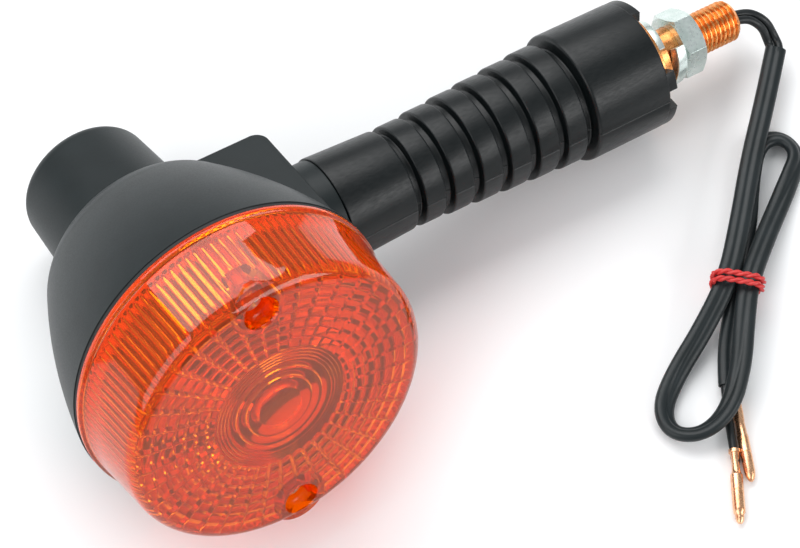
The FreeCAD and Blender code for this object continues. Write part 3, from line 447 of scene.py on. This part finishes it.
# ---------------------------------------------------------------- lens

SECTORS = 38
PER_FLUTE, PER_SECTOR = 6, 18
COLUMNS = PER_SECTOR * SECTORS
CELL_OUTER, CELL_INNER, CELL_ROWS = 32.3, 15.2, 7
CELL_RISE, CELL_TOP, CELL_FALL = 0.14, 0.7, 0.16
BULLSEYE = (5.0, 7.4, 9.8, 12.0, 12.8, 13.6, 14.4, 15.2)
FACE = 44.8
FLANGE, INSIDE = 24.25, 33.95
ROWS_PER_CELL = 6
PLAIN = 1.7
SCREW_SIDE, SCREW_UP = 1.87, 28.54
SCREW_SEAT = 39.0

# The cup round each screw: how far ahead, and radius.
POST = [(20.0, 3.6), (35.0, 3.6), (35.6, 4.9), (36.2, 5.1), (41.0, 5.6), (43.4, 6.6)]
RECESS = [(SCREW_SEAT, 3.2), (43.0, 3.45), (44.4, 3.75), (44.8, 4.0), (46.0, 5.2)]
HOLE = [(18.0, 2.2), (SCREW_SEAT + 1, 2.2)]


def flute(column):
    """Height of the side wall's flutes at a column, from 0 to 1."""
    return math.sin(math.pi * (column % PER_FLUTE) / PER_FLUTE) ** 0.7


def prism(around, across):
    """Height of one cell: a tilted top with steep sides, crowned from end to end."""
    if around < CELL_RISE:
        top = 0.75 * around / CELL_RISE
    elif around < CELL_RISE + CELL_TOP:
        top = 0.75 + 0.4 * (around - CELL_RISE) / CELL_TOP
    else:
        top = 1.15 * (1 - around) / CELL_FALL
    return top * 0.9 + 0.42 * (1 - (2 * across - 1) ** 2)


def face_thickness(radius, column):
    """How thick the lens's front is: prisms outside, rings at the middle."""
    if radius >= CELL_INNER:
        ring = (CELL_OUTER - radius) / (CELL_OUTER - CELL_INNER) * CELL_ROWS
        return 1.55 + prism((column % PER_SECTOR) / PER_SECTOR, ring % 1.0)
    if radius < BULLSEYE[0]:
        return PLAIN + 0.45 * (1 - (radius / BULLSEYE[0]) ** 2)
    for inner, outer in zip(BULLSEYE, BULLSEYE[1:]):
        if radius <= outer:
            share = (radius - inner) / (outer - inner)
            return PLAIN + 0.3 * (outer - inner) * (1 - share) ** 1.4
    return PLAIN


def lens_inside():
    """Rows of (radius, ahead) of the inner surface, from the flange to the middle."""
    rows = []
    for ahead, depth in ((FLANGE, 0), (25.9, 0), (26.1, 0.35), (26.4, 0.75), (26.9, 1.0),
                         (30.5, 1.0), (34.0, 1.0), (37.5, 1.0), (40.0, 1.0), (41.2, 1.0)):
        base = INSIDE - (ahead - FLANGE) * 0.058
        rows.append([(base - 0.62 * depth * flute(column), ahead) for column in range(COLUMNS)])
    for step in range(CELL_ROWS * ROWS_PER_CELL + 1):
        radius = CELL_OUTER - (CELL_OUTER - CELL_INNER) * step / (CELL_ROWS * ROWS_PER_CELL)
        rows.append([(radius, FACE - face_thickness(radius, column)) for column in range(COLUMNS)])
    for inner, outer in reversed(list(zip(BULLSEYE, BULLSEYE[1:]))):
        for share in (0.96, 0.7, 0.4, 0.15, 0.0):
            radius = inner + (outer - inner) * share
            rows.append([(radius, FACE - face_thickness(radius, 0))] * COLUMNS)
    for share in (0.97, 0.8, 0.6, 0.4, 0.2, 0.0):
        radius = BULLSEYE[0] * share
        rows.append([(radius, FACE - face_thickness(radius, 0))] * COLUMNS)
    return rows


def lens_outside():
    """Rows of the smooth outer surface, from the middle to the flange."""
    face = [(0.0, FACE), (10.0, FACE), (20.0, FACE), (28.0, FACE), (30.3, 44.78)]
    edge = [(30.9, 44.72)]
    for step in range(1, 12):
        angle = math.radians(90 - step * 90 / 12)
        edge.append((30.7 + 3.65 * math.cos(angle), 41.1 + 3.65 * math.sin(angle)))
    side = [(34.4, 40.8), (34.7, 36.0), (35.0, 31.0), (35.35, 26.2), (35.5, 25.9), (35.75, 25.72),
            (35.95, 25.6), (36.08, 25.4), (36.1, 25.1), (36.1, 24.5), (36.0, 24.3), (35.8, FLANGE)]
    return [[place] * COLUMNS for place in face + edge + side]


def make_lens(looks):
    """The amber cover, one closed solid with its screw posts and recesses."""
    rows = lens_outside() + lens_inside()
    points = []
    for row in rows:
        for column, (radius, ahead) in enumerate(row):
            points.append(on_lens(ahead, radius, 2 * math.pi * column / COLUMNS))
    lens = mesh_piece("lens_piece", points, grid_faces(len(rows), COLUMNS, close_rows=True), LAMP, 30)
    for sign in (-1, 1):
        for name, outline, operation in (
                ("post", POST, "UNION"), ("recess", RECESS, "DIFFERENCE"), ("hole", HOLE, "DIFFERENCE")):
            outline = [(outline[0][0], 0.0)] + outline + [(outline[-1][0], 0.0)]
            points, faces = turned(outline, on_lens, 48, closed=False)
            cutter = mesh_piece(name, at_screw(points, sign), faces, LAMP)
            combined(lens, cutter, operation)
    lens.data.shade_smooth()
    lens.data.set_sharp_from_angle(angle=math.radians(30))
    finish_piece(lens, "lens_unit", "amber_lens", looks["amber_lens"], "lens")


def at_screw(points, sign):
    """Points about the lens axis, moved to the upper or the lower screw."""
    return [(x - sign * SCREW_SIDE, y, z + sign * SCREW_UP) for x, y, z in points]


def make_screw(node, sign, looks):
    """A zinc pan-head screw with a tapered cross recess."""
    seat = SCREW_SEAT
    top = seat + 1.95
    outline = [(12.0, 0.0), (12.0, 1.2), (13.5, 1.95), (seat, 1.95), (seat, 2.65), (seat + 0.2, 2.75),
               (seat + 0.9, 2.75), (seat + 1.4, 2.55), (seat + 1.75, 2.15), (top, 1.5), (top + 0.05, 0.0)]
    points, faces = turned(outline, on_lens, 56, closed=False)
    screw = mesh_piece(node + "_piece", at_screw(points, sign), faces, LAMP, 40)
    for turn in (20, 110):
        combined(screw, cross_blade(turn, sign, top), "DIFFERENCE")
    screw.data.shade_smooth()
    screw.data.set_sharp_from_angle(angle=math.radians(40))
    finish_piece(screw, "lens_unit", "zinc", looks["zinc"], node)


def cross_blade(turn, sign, top):
    """One wing of the cross recess, narrower and shorter at its bottom."""
    points = []
    angle = math.radians(turn)
    for ahead, length, width in ((top - 1.3, 0.9, 0.32), (top + 0.6, 2.05, 0.52)):
        for x, z in ((-length, -width), (length, -width), (length, width), (-length, width)):
            points.append((x * math.cos(angle) - z * math.sin(angle), -ahead,
                           x * math.sin(angle) + z * math.cos(angle)))
    faces = [(0, 1, 2, 3), (4, 5, 6, 7), (0, 1, 5, 4), (1, 2, 6, 5), (2, 3, 7, 6), (3, 0, 4, 7)]
    return mesh_piece("blade", at_screw(points, sign), faces, LAMP)


# ---------------------------------------------------------------- stem and fasteners

LUGS = ((88, 150), (10, 27), (-120, -10))
MOULD_LINES = (0.0, math.pi)
OUTSIDE = 9.6
SHANK = 4.75
PITCH, THREAD_RADIUS, THREAD_DEPTH = 1.25, 4.95, 0.72
THREAD_START = 130.5
STUD_START = 124.0
COLLAR = 8.35


def moulded(station, radius, angle):
    """A place on the rubber, lifted a little along its two mould lines."""
    return on_stem(station, radius + 0.1 * (angle in MOULD_LINES and radius > OUTSIDE), angle)


def moulded_angles(columns=160):
    """Even angles about the stem, with narrow ones beside each mould line."""
    angles = [2 * math.pi * column / columns for column in range(columns)]
    angles += [line + side for line in MOULD_LINES for side in (math.radians(-0.7), math.radians(0.7))]
    return sorted(angle % (2 * math.pi) for angle in angles)


def make_rubber_stem(looks):
    """The flexible stem: sleeve, ribs and big end with its locating lugs."""
    bore = SHANK + 0.07
    outline = [(29.8, bore), (29.8, 8.9, 0.3), (37.75, 8.9), (37.8, 12.4, 0.35), (54.4, 11.7, 0.5)]
    outline.append((54.6, 9.95, 0.35))
    for rib in range(6):
        left, radius = 56.4 + 7.17 * rib, 11.75 + 0.446 * rib
        outline += [(left - 0.1, radius - 1.9, 0.35), (left + 0.05, radius, 0.5),
                    (left + 5.15, radius, 0.5), (left + 5.3, radius - 1.9, 0.35)]
    outline += [(99.4, 12.1, 0.4), (99.7, 15.2, 0.9), (119.0, 15.1, 0.5), (119.0, 12.27),
                (116.93, 12.27), (116.93, bore), (111.93, bore), (111.93, 4.2), (36.07, 4.2), (36.07, bore)]
    parts = [turned(rounded(outline), moulded, angles=moulded_angles())]
    for start, end in LUGS:
        parts.append(sector(start, end, 118.2, 121.0, 12.35, 15.05))
    stem = mesh_piece("rubber_stem_piece", *together(*parts), LAMP, 40)
    finish_piece(stem, None, "stem_rubber", looks["stem_rubber"], "rubber_stem")
    flex(stem)


def flex(thing):
    """Bake a piece's placement into its mesh, without bending it."""
    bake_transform(thing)


def make_inner_leads(looks):
    """The two leads from the socket through the hollow stem."""
    route = [(11.2, 29.95, 0), (11.5, 9.5, 0), (13.4, 2.6, 0), (18.6, 0, 0),
             (45.0, 0, 0), (70.0, 0, 0), (95.0, 0, 0), (120.0, 0, 0), (142.0, 0, 0)]
    for node, side in (("live_lead", -1), ("earth_lead", 1)):
        places = [in_row(place) for place in beside(route, side * LEAD_SPACING)]
        lead = mesh_piece(node + "_piece", *swept(spline_path(places, 8), circle(LEAD_RADIUS, 16)), ROW)
        finish_piece(lead, None, "lead_pvc", looks["lead_pvc"], node)
        flex(lead)


def thread_radius(station, angle):
    """The stud's surface: an M10 x 1.25 thread, run out at both ends."""
    turn = (station / PITCH - angle / (2 * math.pi)) % 1.0
    crest = min(1, max(0, 1.6 * (1 - abs(2 * turn - 1)) - 0.12))
    depth = THREAD_DEPTH * min(1, max(0, (station - THREAD_START) / 0.8))
    outside = THREAD_RADIUS - max(0, station - (STUD_END - 0.9)) * 0.85
    return min(outside, THREAD_RADIUS - depth * (1 - crest))


def make_mounting_stud(looks):
    """The hollow copper-plated stud, with its plate and its stepped collar."""
    columns, step = 72, 0.125
    points = []
    rows = int((STUD_END - STUD_START) / step) + 1
    for row in range(rows):
        station = STUD_START + row * step
        for column in range(columns):
            angle = 2 * math.pi * column / columns
            points.append(on_stem(station, thread_radius(station, angle), angle))
    for station, radius in ((STUD_END, 3.55), (STUD_END - 0.3, 3.2), (112.0, 3.2),
                            (112.0, SHANK), (120.0, SHANK)):
        points += [on_stem(station, radius, 2 * math.pi * column / columns) for column in range(columns)]
    thread = (points, grid_faces(rows + 5, columns, close_rows=True))
    plate = turned(rounded([(117.0, 4.6), (117.0, 12.2, 0.2), (121.0, 12.2, 0.35), (121.05, 8.4, 0.05),
                            (121.6, COLLAR, 0.15), (121.6, 4.6)], 3), on_stem, 120)
    collar = sector(-100, 45, 121.0, 124.6, 4.6, COLLAR, 60)
    stud = mesh_piece("mounting_stud_piece", *together(thread, plate, collar), LAMP, 32)
    finish_piece(stud, "stem_mount", "copper_plate", looks["copper_plate"], "mounting_stud")


def make_lock_washer(looks):
    """A split spring washer, its square section rounded at the corners."""
    inner, outer, half = 5.3, 8.2, 1.3
    section = rounded([(inner, -half, 0.3), (outer, -half, 0.35), (outer, half, 0.35), (inner, half, 0.3)], 3)
    sweep, rise, steps = 352.0, 4.8, 120
    points = []
    for index in range(steps + 1):
        share = index / steps
        angle = math.radians(49.0 + sweep * share)
        points += [on_stem(123.2 + rise * share + along, radius, angle) for radius, along in section]
    faces = grid_faces(steps + 1, len(section))
    faces.append(tuple(range(len(section))))
    faces.append(tuple(steps * len(section) + place for place in range(len(section))))
    washer = mesh_piece("lock_washer_piece", points, faces, LAMP, 40)
    finish_piece(washer, "stem_mount", "zinc", looks["zinc"], "lock_washer")


def make_contact_spring(looks):
    """The coil behind the contact plunger, which shortens as the bulb is pushed in."""
    path = []
    for index in range(100):
        share = index / 99
        angle = 2 * math.pi * 2.5 * share
        path.append(in_row(on_lens(-36.45 + 3.0 * share, 4.6, angle)))
    spring = mesh_piece("contact_spring_piece", *swept(path, circle(0.2, 10), flat=AHEAD), ROW)
    finish_piece(spring, "lamp_head", "spring_steel", looks["spring_steel"], "contact_spring")
    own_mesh(spring)


# ---------------------------------------------------------------- materials

def surface(name, dark, light, rough, metallic=0.0, blotch=6.0, grain=0.5, bump=0.02,
            bevel=0.0, stretch=(1, 1, 1), **sockets):
    """A procedural finish: colour and gloss that vary, and a fine bump. Sizes in mm."""
    material = bpy.data.materials.new(name)
    material.use_nodes = True
    tree = material.node_tree
    shader = tree.nodes["Principled BSDF"]
    place = tree.nodes.new("ShaderNodeTexCoord")
    mapping = tree.nodes.new("ShaderNodeMapping")
    mapping.inputs["Scale"].default_value = stretch
    tree.links.new(place.outputs["Object"], mapping.inputs["Vector"])
    noises = []
    for size, detail in ((blotch, 3.0), (grain, 5.0)):
        noise = tree.nodes.new("ShaderNodeTexNoise")
        noise.inputs["Scale"].default_value = 1 / (size * MM)
        noise.inputs["Detail"].default_value = detail
        tree.links.new(mapping.outputs["Vector"], noise.inputs["Vector"])
        noises.append(noise)
    tint = tree.nodes.new("ShaderNodeValToRGB")
    tint.color_ramp.elements[0].position = 0.32
    tint.color_ramp.elements[1].position = 0.68
    tint.color_ramp.elements[0].color = (*dark, 1)
    tint.color_ramp.elements[1].color = (*light, 1)
    tree.links.new(noises[0].outputs["Fac"], tint.inputs["Fac"])
    tree.links.new(tint.outputs["Color"], shader.inputs["Base Color"])
    gloss = tree.nodes.new("ShaderNodeMapRange")
    gloss.inputs["From Min"].default_value = 0.3
    gloss.inputs["From Max"].default_value = 0.7
    gloss.inputs["To Min"].default_value = rough[0]
    gloss.inputs["To Max"].default_value = rough[1]
    tree.links.new(noises[1].outputs["Fac"], gloss.inputs["Value"])
    tree.links.new(gloss.outputs["Result"], shader.inputs["Roughness"])
    relief = tree.nodes.new("ShaderNodeBump")
    relief.inputs["Strength"].default_value = 1.0
    relief.inputs["Distance"].default_value = bump * MM
    tree.links.new(noises[1].outputs["Fac"], relief.inputs["Height"])
    tree.links.new(relief.outputs["Normal"], shader.inputs["Normal"])
    if bevel:
        edge = tree.nodes.new("ShaderNodeBevel")
        edge.samples = 6
        edge.inputs["Radius"].default_value = bevel * MM
        tree.links.new(edge.outputs["Normal"], relief.inputs["Normal"])
    shader.inputs["Metallic"].default_value = metallic
    for socket, value in sockets.items():
        shader.inputs[socket.replace("_", " ")].default_value = value
    return material


def clear(name, colour, through, rough, body=0.0, **sockets):
    """Glass or clear plastic, which also lets the lamps' light through. Body is the share that scatters."""
    material = surface(name, colour, tuple(min(1, c * 1.04) for c in colour), rough, grain=1.5, bump=0.003,
                       Transmission_Weight=1.0 - body, **sockets)
    tree = material.node_tree
    shader = tree.nodes["Principled BSDF"]
    out = [node for node in tree.nodes if node.type == "OUTPUT_MATERIAL"][0]
    path = tree.nodes.new("ShaderNodeLightPath")
    passing = tree.nodes.new("ShaderNodeBsdfTransparent")
    passing.inputs["Color"].default_value = (*through, 1)
    mix = tree.nodes.new("ShaderNodeMixShader")
    tree.links.new(path.outputs["Is Shadow Ray"], mix.inputs["Fac"])
    tree.links.new(shader.outputs["BSDF"], mix.inputs[1])
    tree.links.new(passing.outputs["BSDF"], mix.inputs[2])
    tree.links.new(mix.outputs["Shader"], out.inputs["Surface"])
    return material


def make_looks():
    """One finish for each of the record's material slots."""
    return {
        "housing_plastic": surface("housing_plastic", (0.0045, 0.0085, 0.0093), (0.007, 0.0118, 0.013),
                                   (0.40, 0.48), grain=0.35, bump=0.010, bevel=0.35, Specular_IOR_Level=0.30),
        "amber_lens": clear("amber_lens", (1.0, 0.20, 0.0), (0.80, 0.34, 0.01), (0.01, 0.04), body=0.10,
                            IOR=1.49, Specular_IOR_Level=0.12),
        "gasket_rubber": surface("gasket_rubber", (0.012, 0.012, 0.012), (0.02, 0.02, 0.02), (0.6, 0.75)),
        "zinc": surface("zinc", (0.58, 0.68, 0.64), (0.74, 0.81, 0.78), (0.24, 0.38), 0.88, blotch=4,
                        grain=0.8, bump=0.006, bevel=0.15),
        "reflector_metal": surface("reflector_metal", (0.80, 0.80, 0.78), (0.9, 0.9, 0.88), (0.08, 0.16), 1.0,
                                   bump=0.004),
        "bulb_glass": clear("bulb_glass", (0.98, 0.98, 0.97), (0.97, 0.97, 0.97), (0.0, 0.02), IOR=1.5),
        "nickel": surface("nickel", (0.62, 0.60, 0.56), (0.74, 0.72, 0.68), (0.2, 0.35), 1.0, bevel=0.15),
        "black_glass": surface("black_glass", (0.01, 0.01, 0.012), (0.02, 0.02, 0.022), (0.05, 0.12)),
        "solder": surface("solder", (0.45, 0.45, 0.45), (0.6, 0.6, 0.6), (0.3, 0.5), 1.0),
        "tungsten": surface("tungsten", (0.30, 0.29, 0.28), (0.4, 0.39, 0.38), (0.35, 0.5), 1.0),
        "fibre": surface("fibre", (0.22, 0.10, 0.04), (0.3, 0.15, 0.07), (0.6, 0.8), stretch=(1, 6, 1)),
        "brass": surface("brass", (0.65, 0.46, 0.18), (0.78, 0.58, 0.26), (0.2, 0.35), 1.0),
        "spring_steel": surface("spring_steel", (0.35, 0.35, 0.36), (0.5, 0.5, 0.51), (0.25, 0.4), 1.0),
        "stem_rubber": surface("stem_rubber", (0.0025, 0.0042, 0.0046), (0.004, 0.006, 0.0066), (0.30, 0.44),
                               grain=0.45, bump=0.02, stretch=(0.25, 1, 1), Specular_IOR_Level=0.32),
        "copper_plate": surface("copper_plate", (0.72, 0.25, 0.07), (0.92, 0.42, 0.15), (0.2, 0.38), 1.0,
                                blotch=1.6, grain=0.35, bump=0.012),
        "lead_pvc": surface("lead_pvc", (0.008, 0.010, 0.011), (0.013, 0.016, 0.017), (0.3, 0.42), bump=0.01,
                            Specular_IOR_Level=0.35),
        "sheath_pvc": surface("sheath_pvc", (0.007, 0.011, 0.012), (0.011, 0.016, 0.018), (0.34, 0.46),
                              grain=0.4, bump=0.012, Specular_IOR_Level=0.35),
        "copper_terminal": surface("copper_terminal", (0.75, 0.38, 0.20), (0.92, 0.56, 0.34), (0.2, 0.34),
                                   1.0, blotch=2, grain=0.3, bump=0.01),
        "red_tie": surface("red_tie", (0.50, 0.02, 0.02), (0.66, 0.04, 0.035), (0.35, 0.5), grain=0.3,
                           bump=0.02),
    }


def paint_frame(looks):
    """Give each CAD node that still shows the finish of its slot."""
    slots = {
        "housing": "housing_plastic", "lens_gasket": "gasket_rubber", "reflector": "reflector_metal",
        "socket_shell": "zinc", "socket_holder": "housing_plastic", "inner_stud": "copper_plate",
        "inner_washer": "zinc", "inner_nut": "zinc", "hex_nut": "zinc", "bulb_glass": "bulb_glass",
        "bulb_cap": "nickel", "bulb_insulator": "black_glass", "bulb_contact": "solder",
        "filament_mount": "bulb_glass", "bulb_filament": "tungsten", "contact_plunger": "fibre",
    }
    for node, slot in slots.items():
        thing = frame["nodes"][node]
        for place in thing.material_slots:
            place.material = looks[slot]


# ---------------------------------------------------------------- camera, light and floor

CAMERA_PLACE = (-0.179229, -0.234199, 0.603189)
CAMERA_TURN = (25.28039, -2.71735, -31.71417)

# Each soft box: name, place, what it faces, size in metres, and power in watts.
SOFT_BOXES = (
    ("top_box", (0.05, 0.60, 0.80), (0, 0, 0.02), (1.3, 0.8), 11),
    ("left_box", (-0.80, -0.10, 0.60), (-0.05, 0, 0.03), (0.6, 0.9), 4),
    ("front_box", (0.45, -0.75, 0.55), (0, 0, 0.03), (0.8, 0.4), 4.5),
)
FLOOR_HALF = 2500

def make_camera():
    """A long lens above the lamp and in front of it, a little towards -X."""
    camera = bpy.data.objects.new("camera", bpy.data.cameras.new("camera"))
    bpy.context.scene.collection.objects.link(camera)
    camera.data.lens = 135
    camera.data.sensor_width = 36
    camera.data.clip_end = 20
    camera.location = CAMERA_PLACE
    camera.rotation_euler = [math.radians(turn) for turn in CAMERA_TURN]
    bpy.context.scene.camera = camera


def make_light(name, place, target, size, power):
    """A white soft box at a place, turned to face a target."""
    light = bpy.data.lights.new(name, "AREA")
    light.shape = "RECTANGLE"
    light.size, light.size_y = size
    light.energy = power
    thing = bpy.data.objects.new(name, light)
    bpy.context.scene.collection.objects.link(thing)
    thing.location = place
    thing.rotation_euler = (Vector(target) - Vector(place)).to_track_quat("-Z", "Y").to_euler()


def make_studio():
    """A plain white floor under soft boxes and a pale surround."""
    points = [(x * FLOOR_HALF, y * FLOOR_HALF, 0) for x, y in ((-1, -1), (1, -1), (1, 1), (-1, 1))]
    floor = mesh_piece("floor", points, [(0, 1, 2, 3)], ROW)
    material = surface("floor_white", (0.90, 0.905, 0.91), (0.915, 0.92, 0.925), (0.75, 0.9),
                       blotch=400, grain=60, bump=0.0)
    floor.data.materials.append(material)
    world = bpy.context.scene.world or bpy.data.worlds.new("world")
    bpy.context.scene.world = world
    world.use_nodes = True
    background = world.node_tree.nodes["Background"]
    background.inputs["Color"].default_value = (0.93, 0.97, 1.0, 1)
    background.inputs["Strength"].default_value = 0.42
    for box in SOFT_BOXES:
        make_light(*box)
    bpy.context.scene.view_settings.view_transform = "Standard"
    bpy.context.scene.view_settings.look = "None"


# ---------------------------------------------------------------- all together

def main():
    """Build every piece, then the studio round them."""
    make_camera()
    looks = make_looks()
    make_cord(looks)
    make_lens(looks)
    make_screw("upper_lens_screw", 1, looks)
    make_screw("lower_lens_screw", -1, looks)
    make_rubber_stem(looks)
    make_inner_leads(looks)
    make_mounting_stud(looks)
    make_lock_washer(looks)
    make_contact_spring(looks)
    paint_frame(looks)
    make_studio()


main()
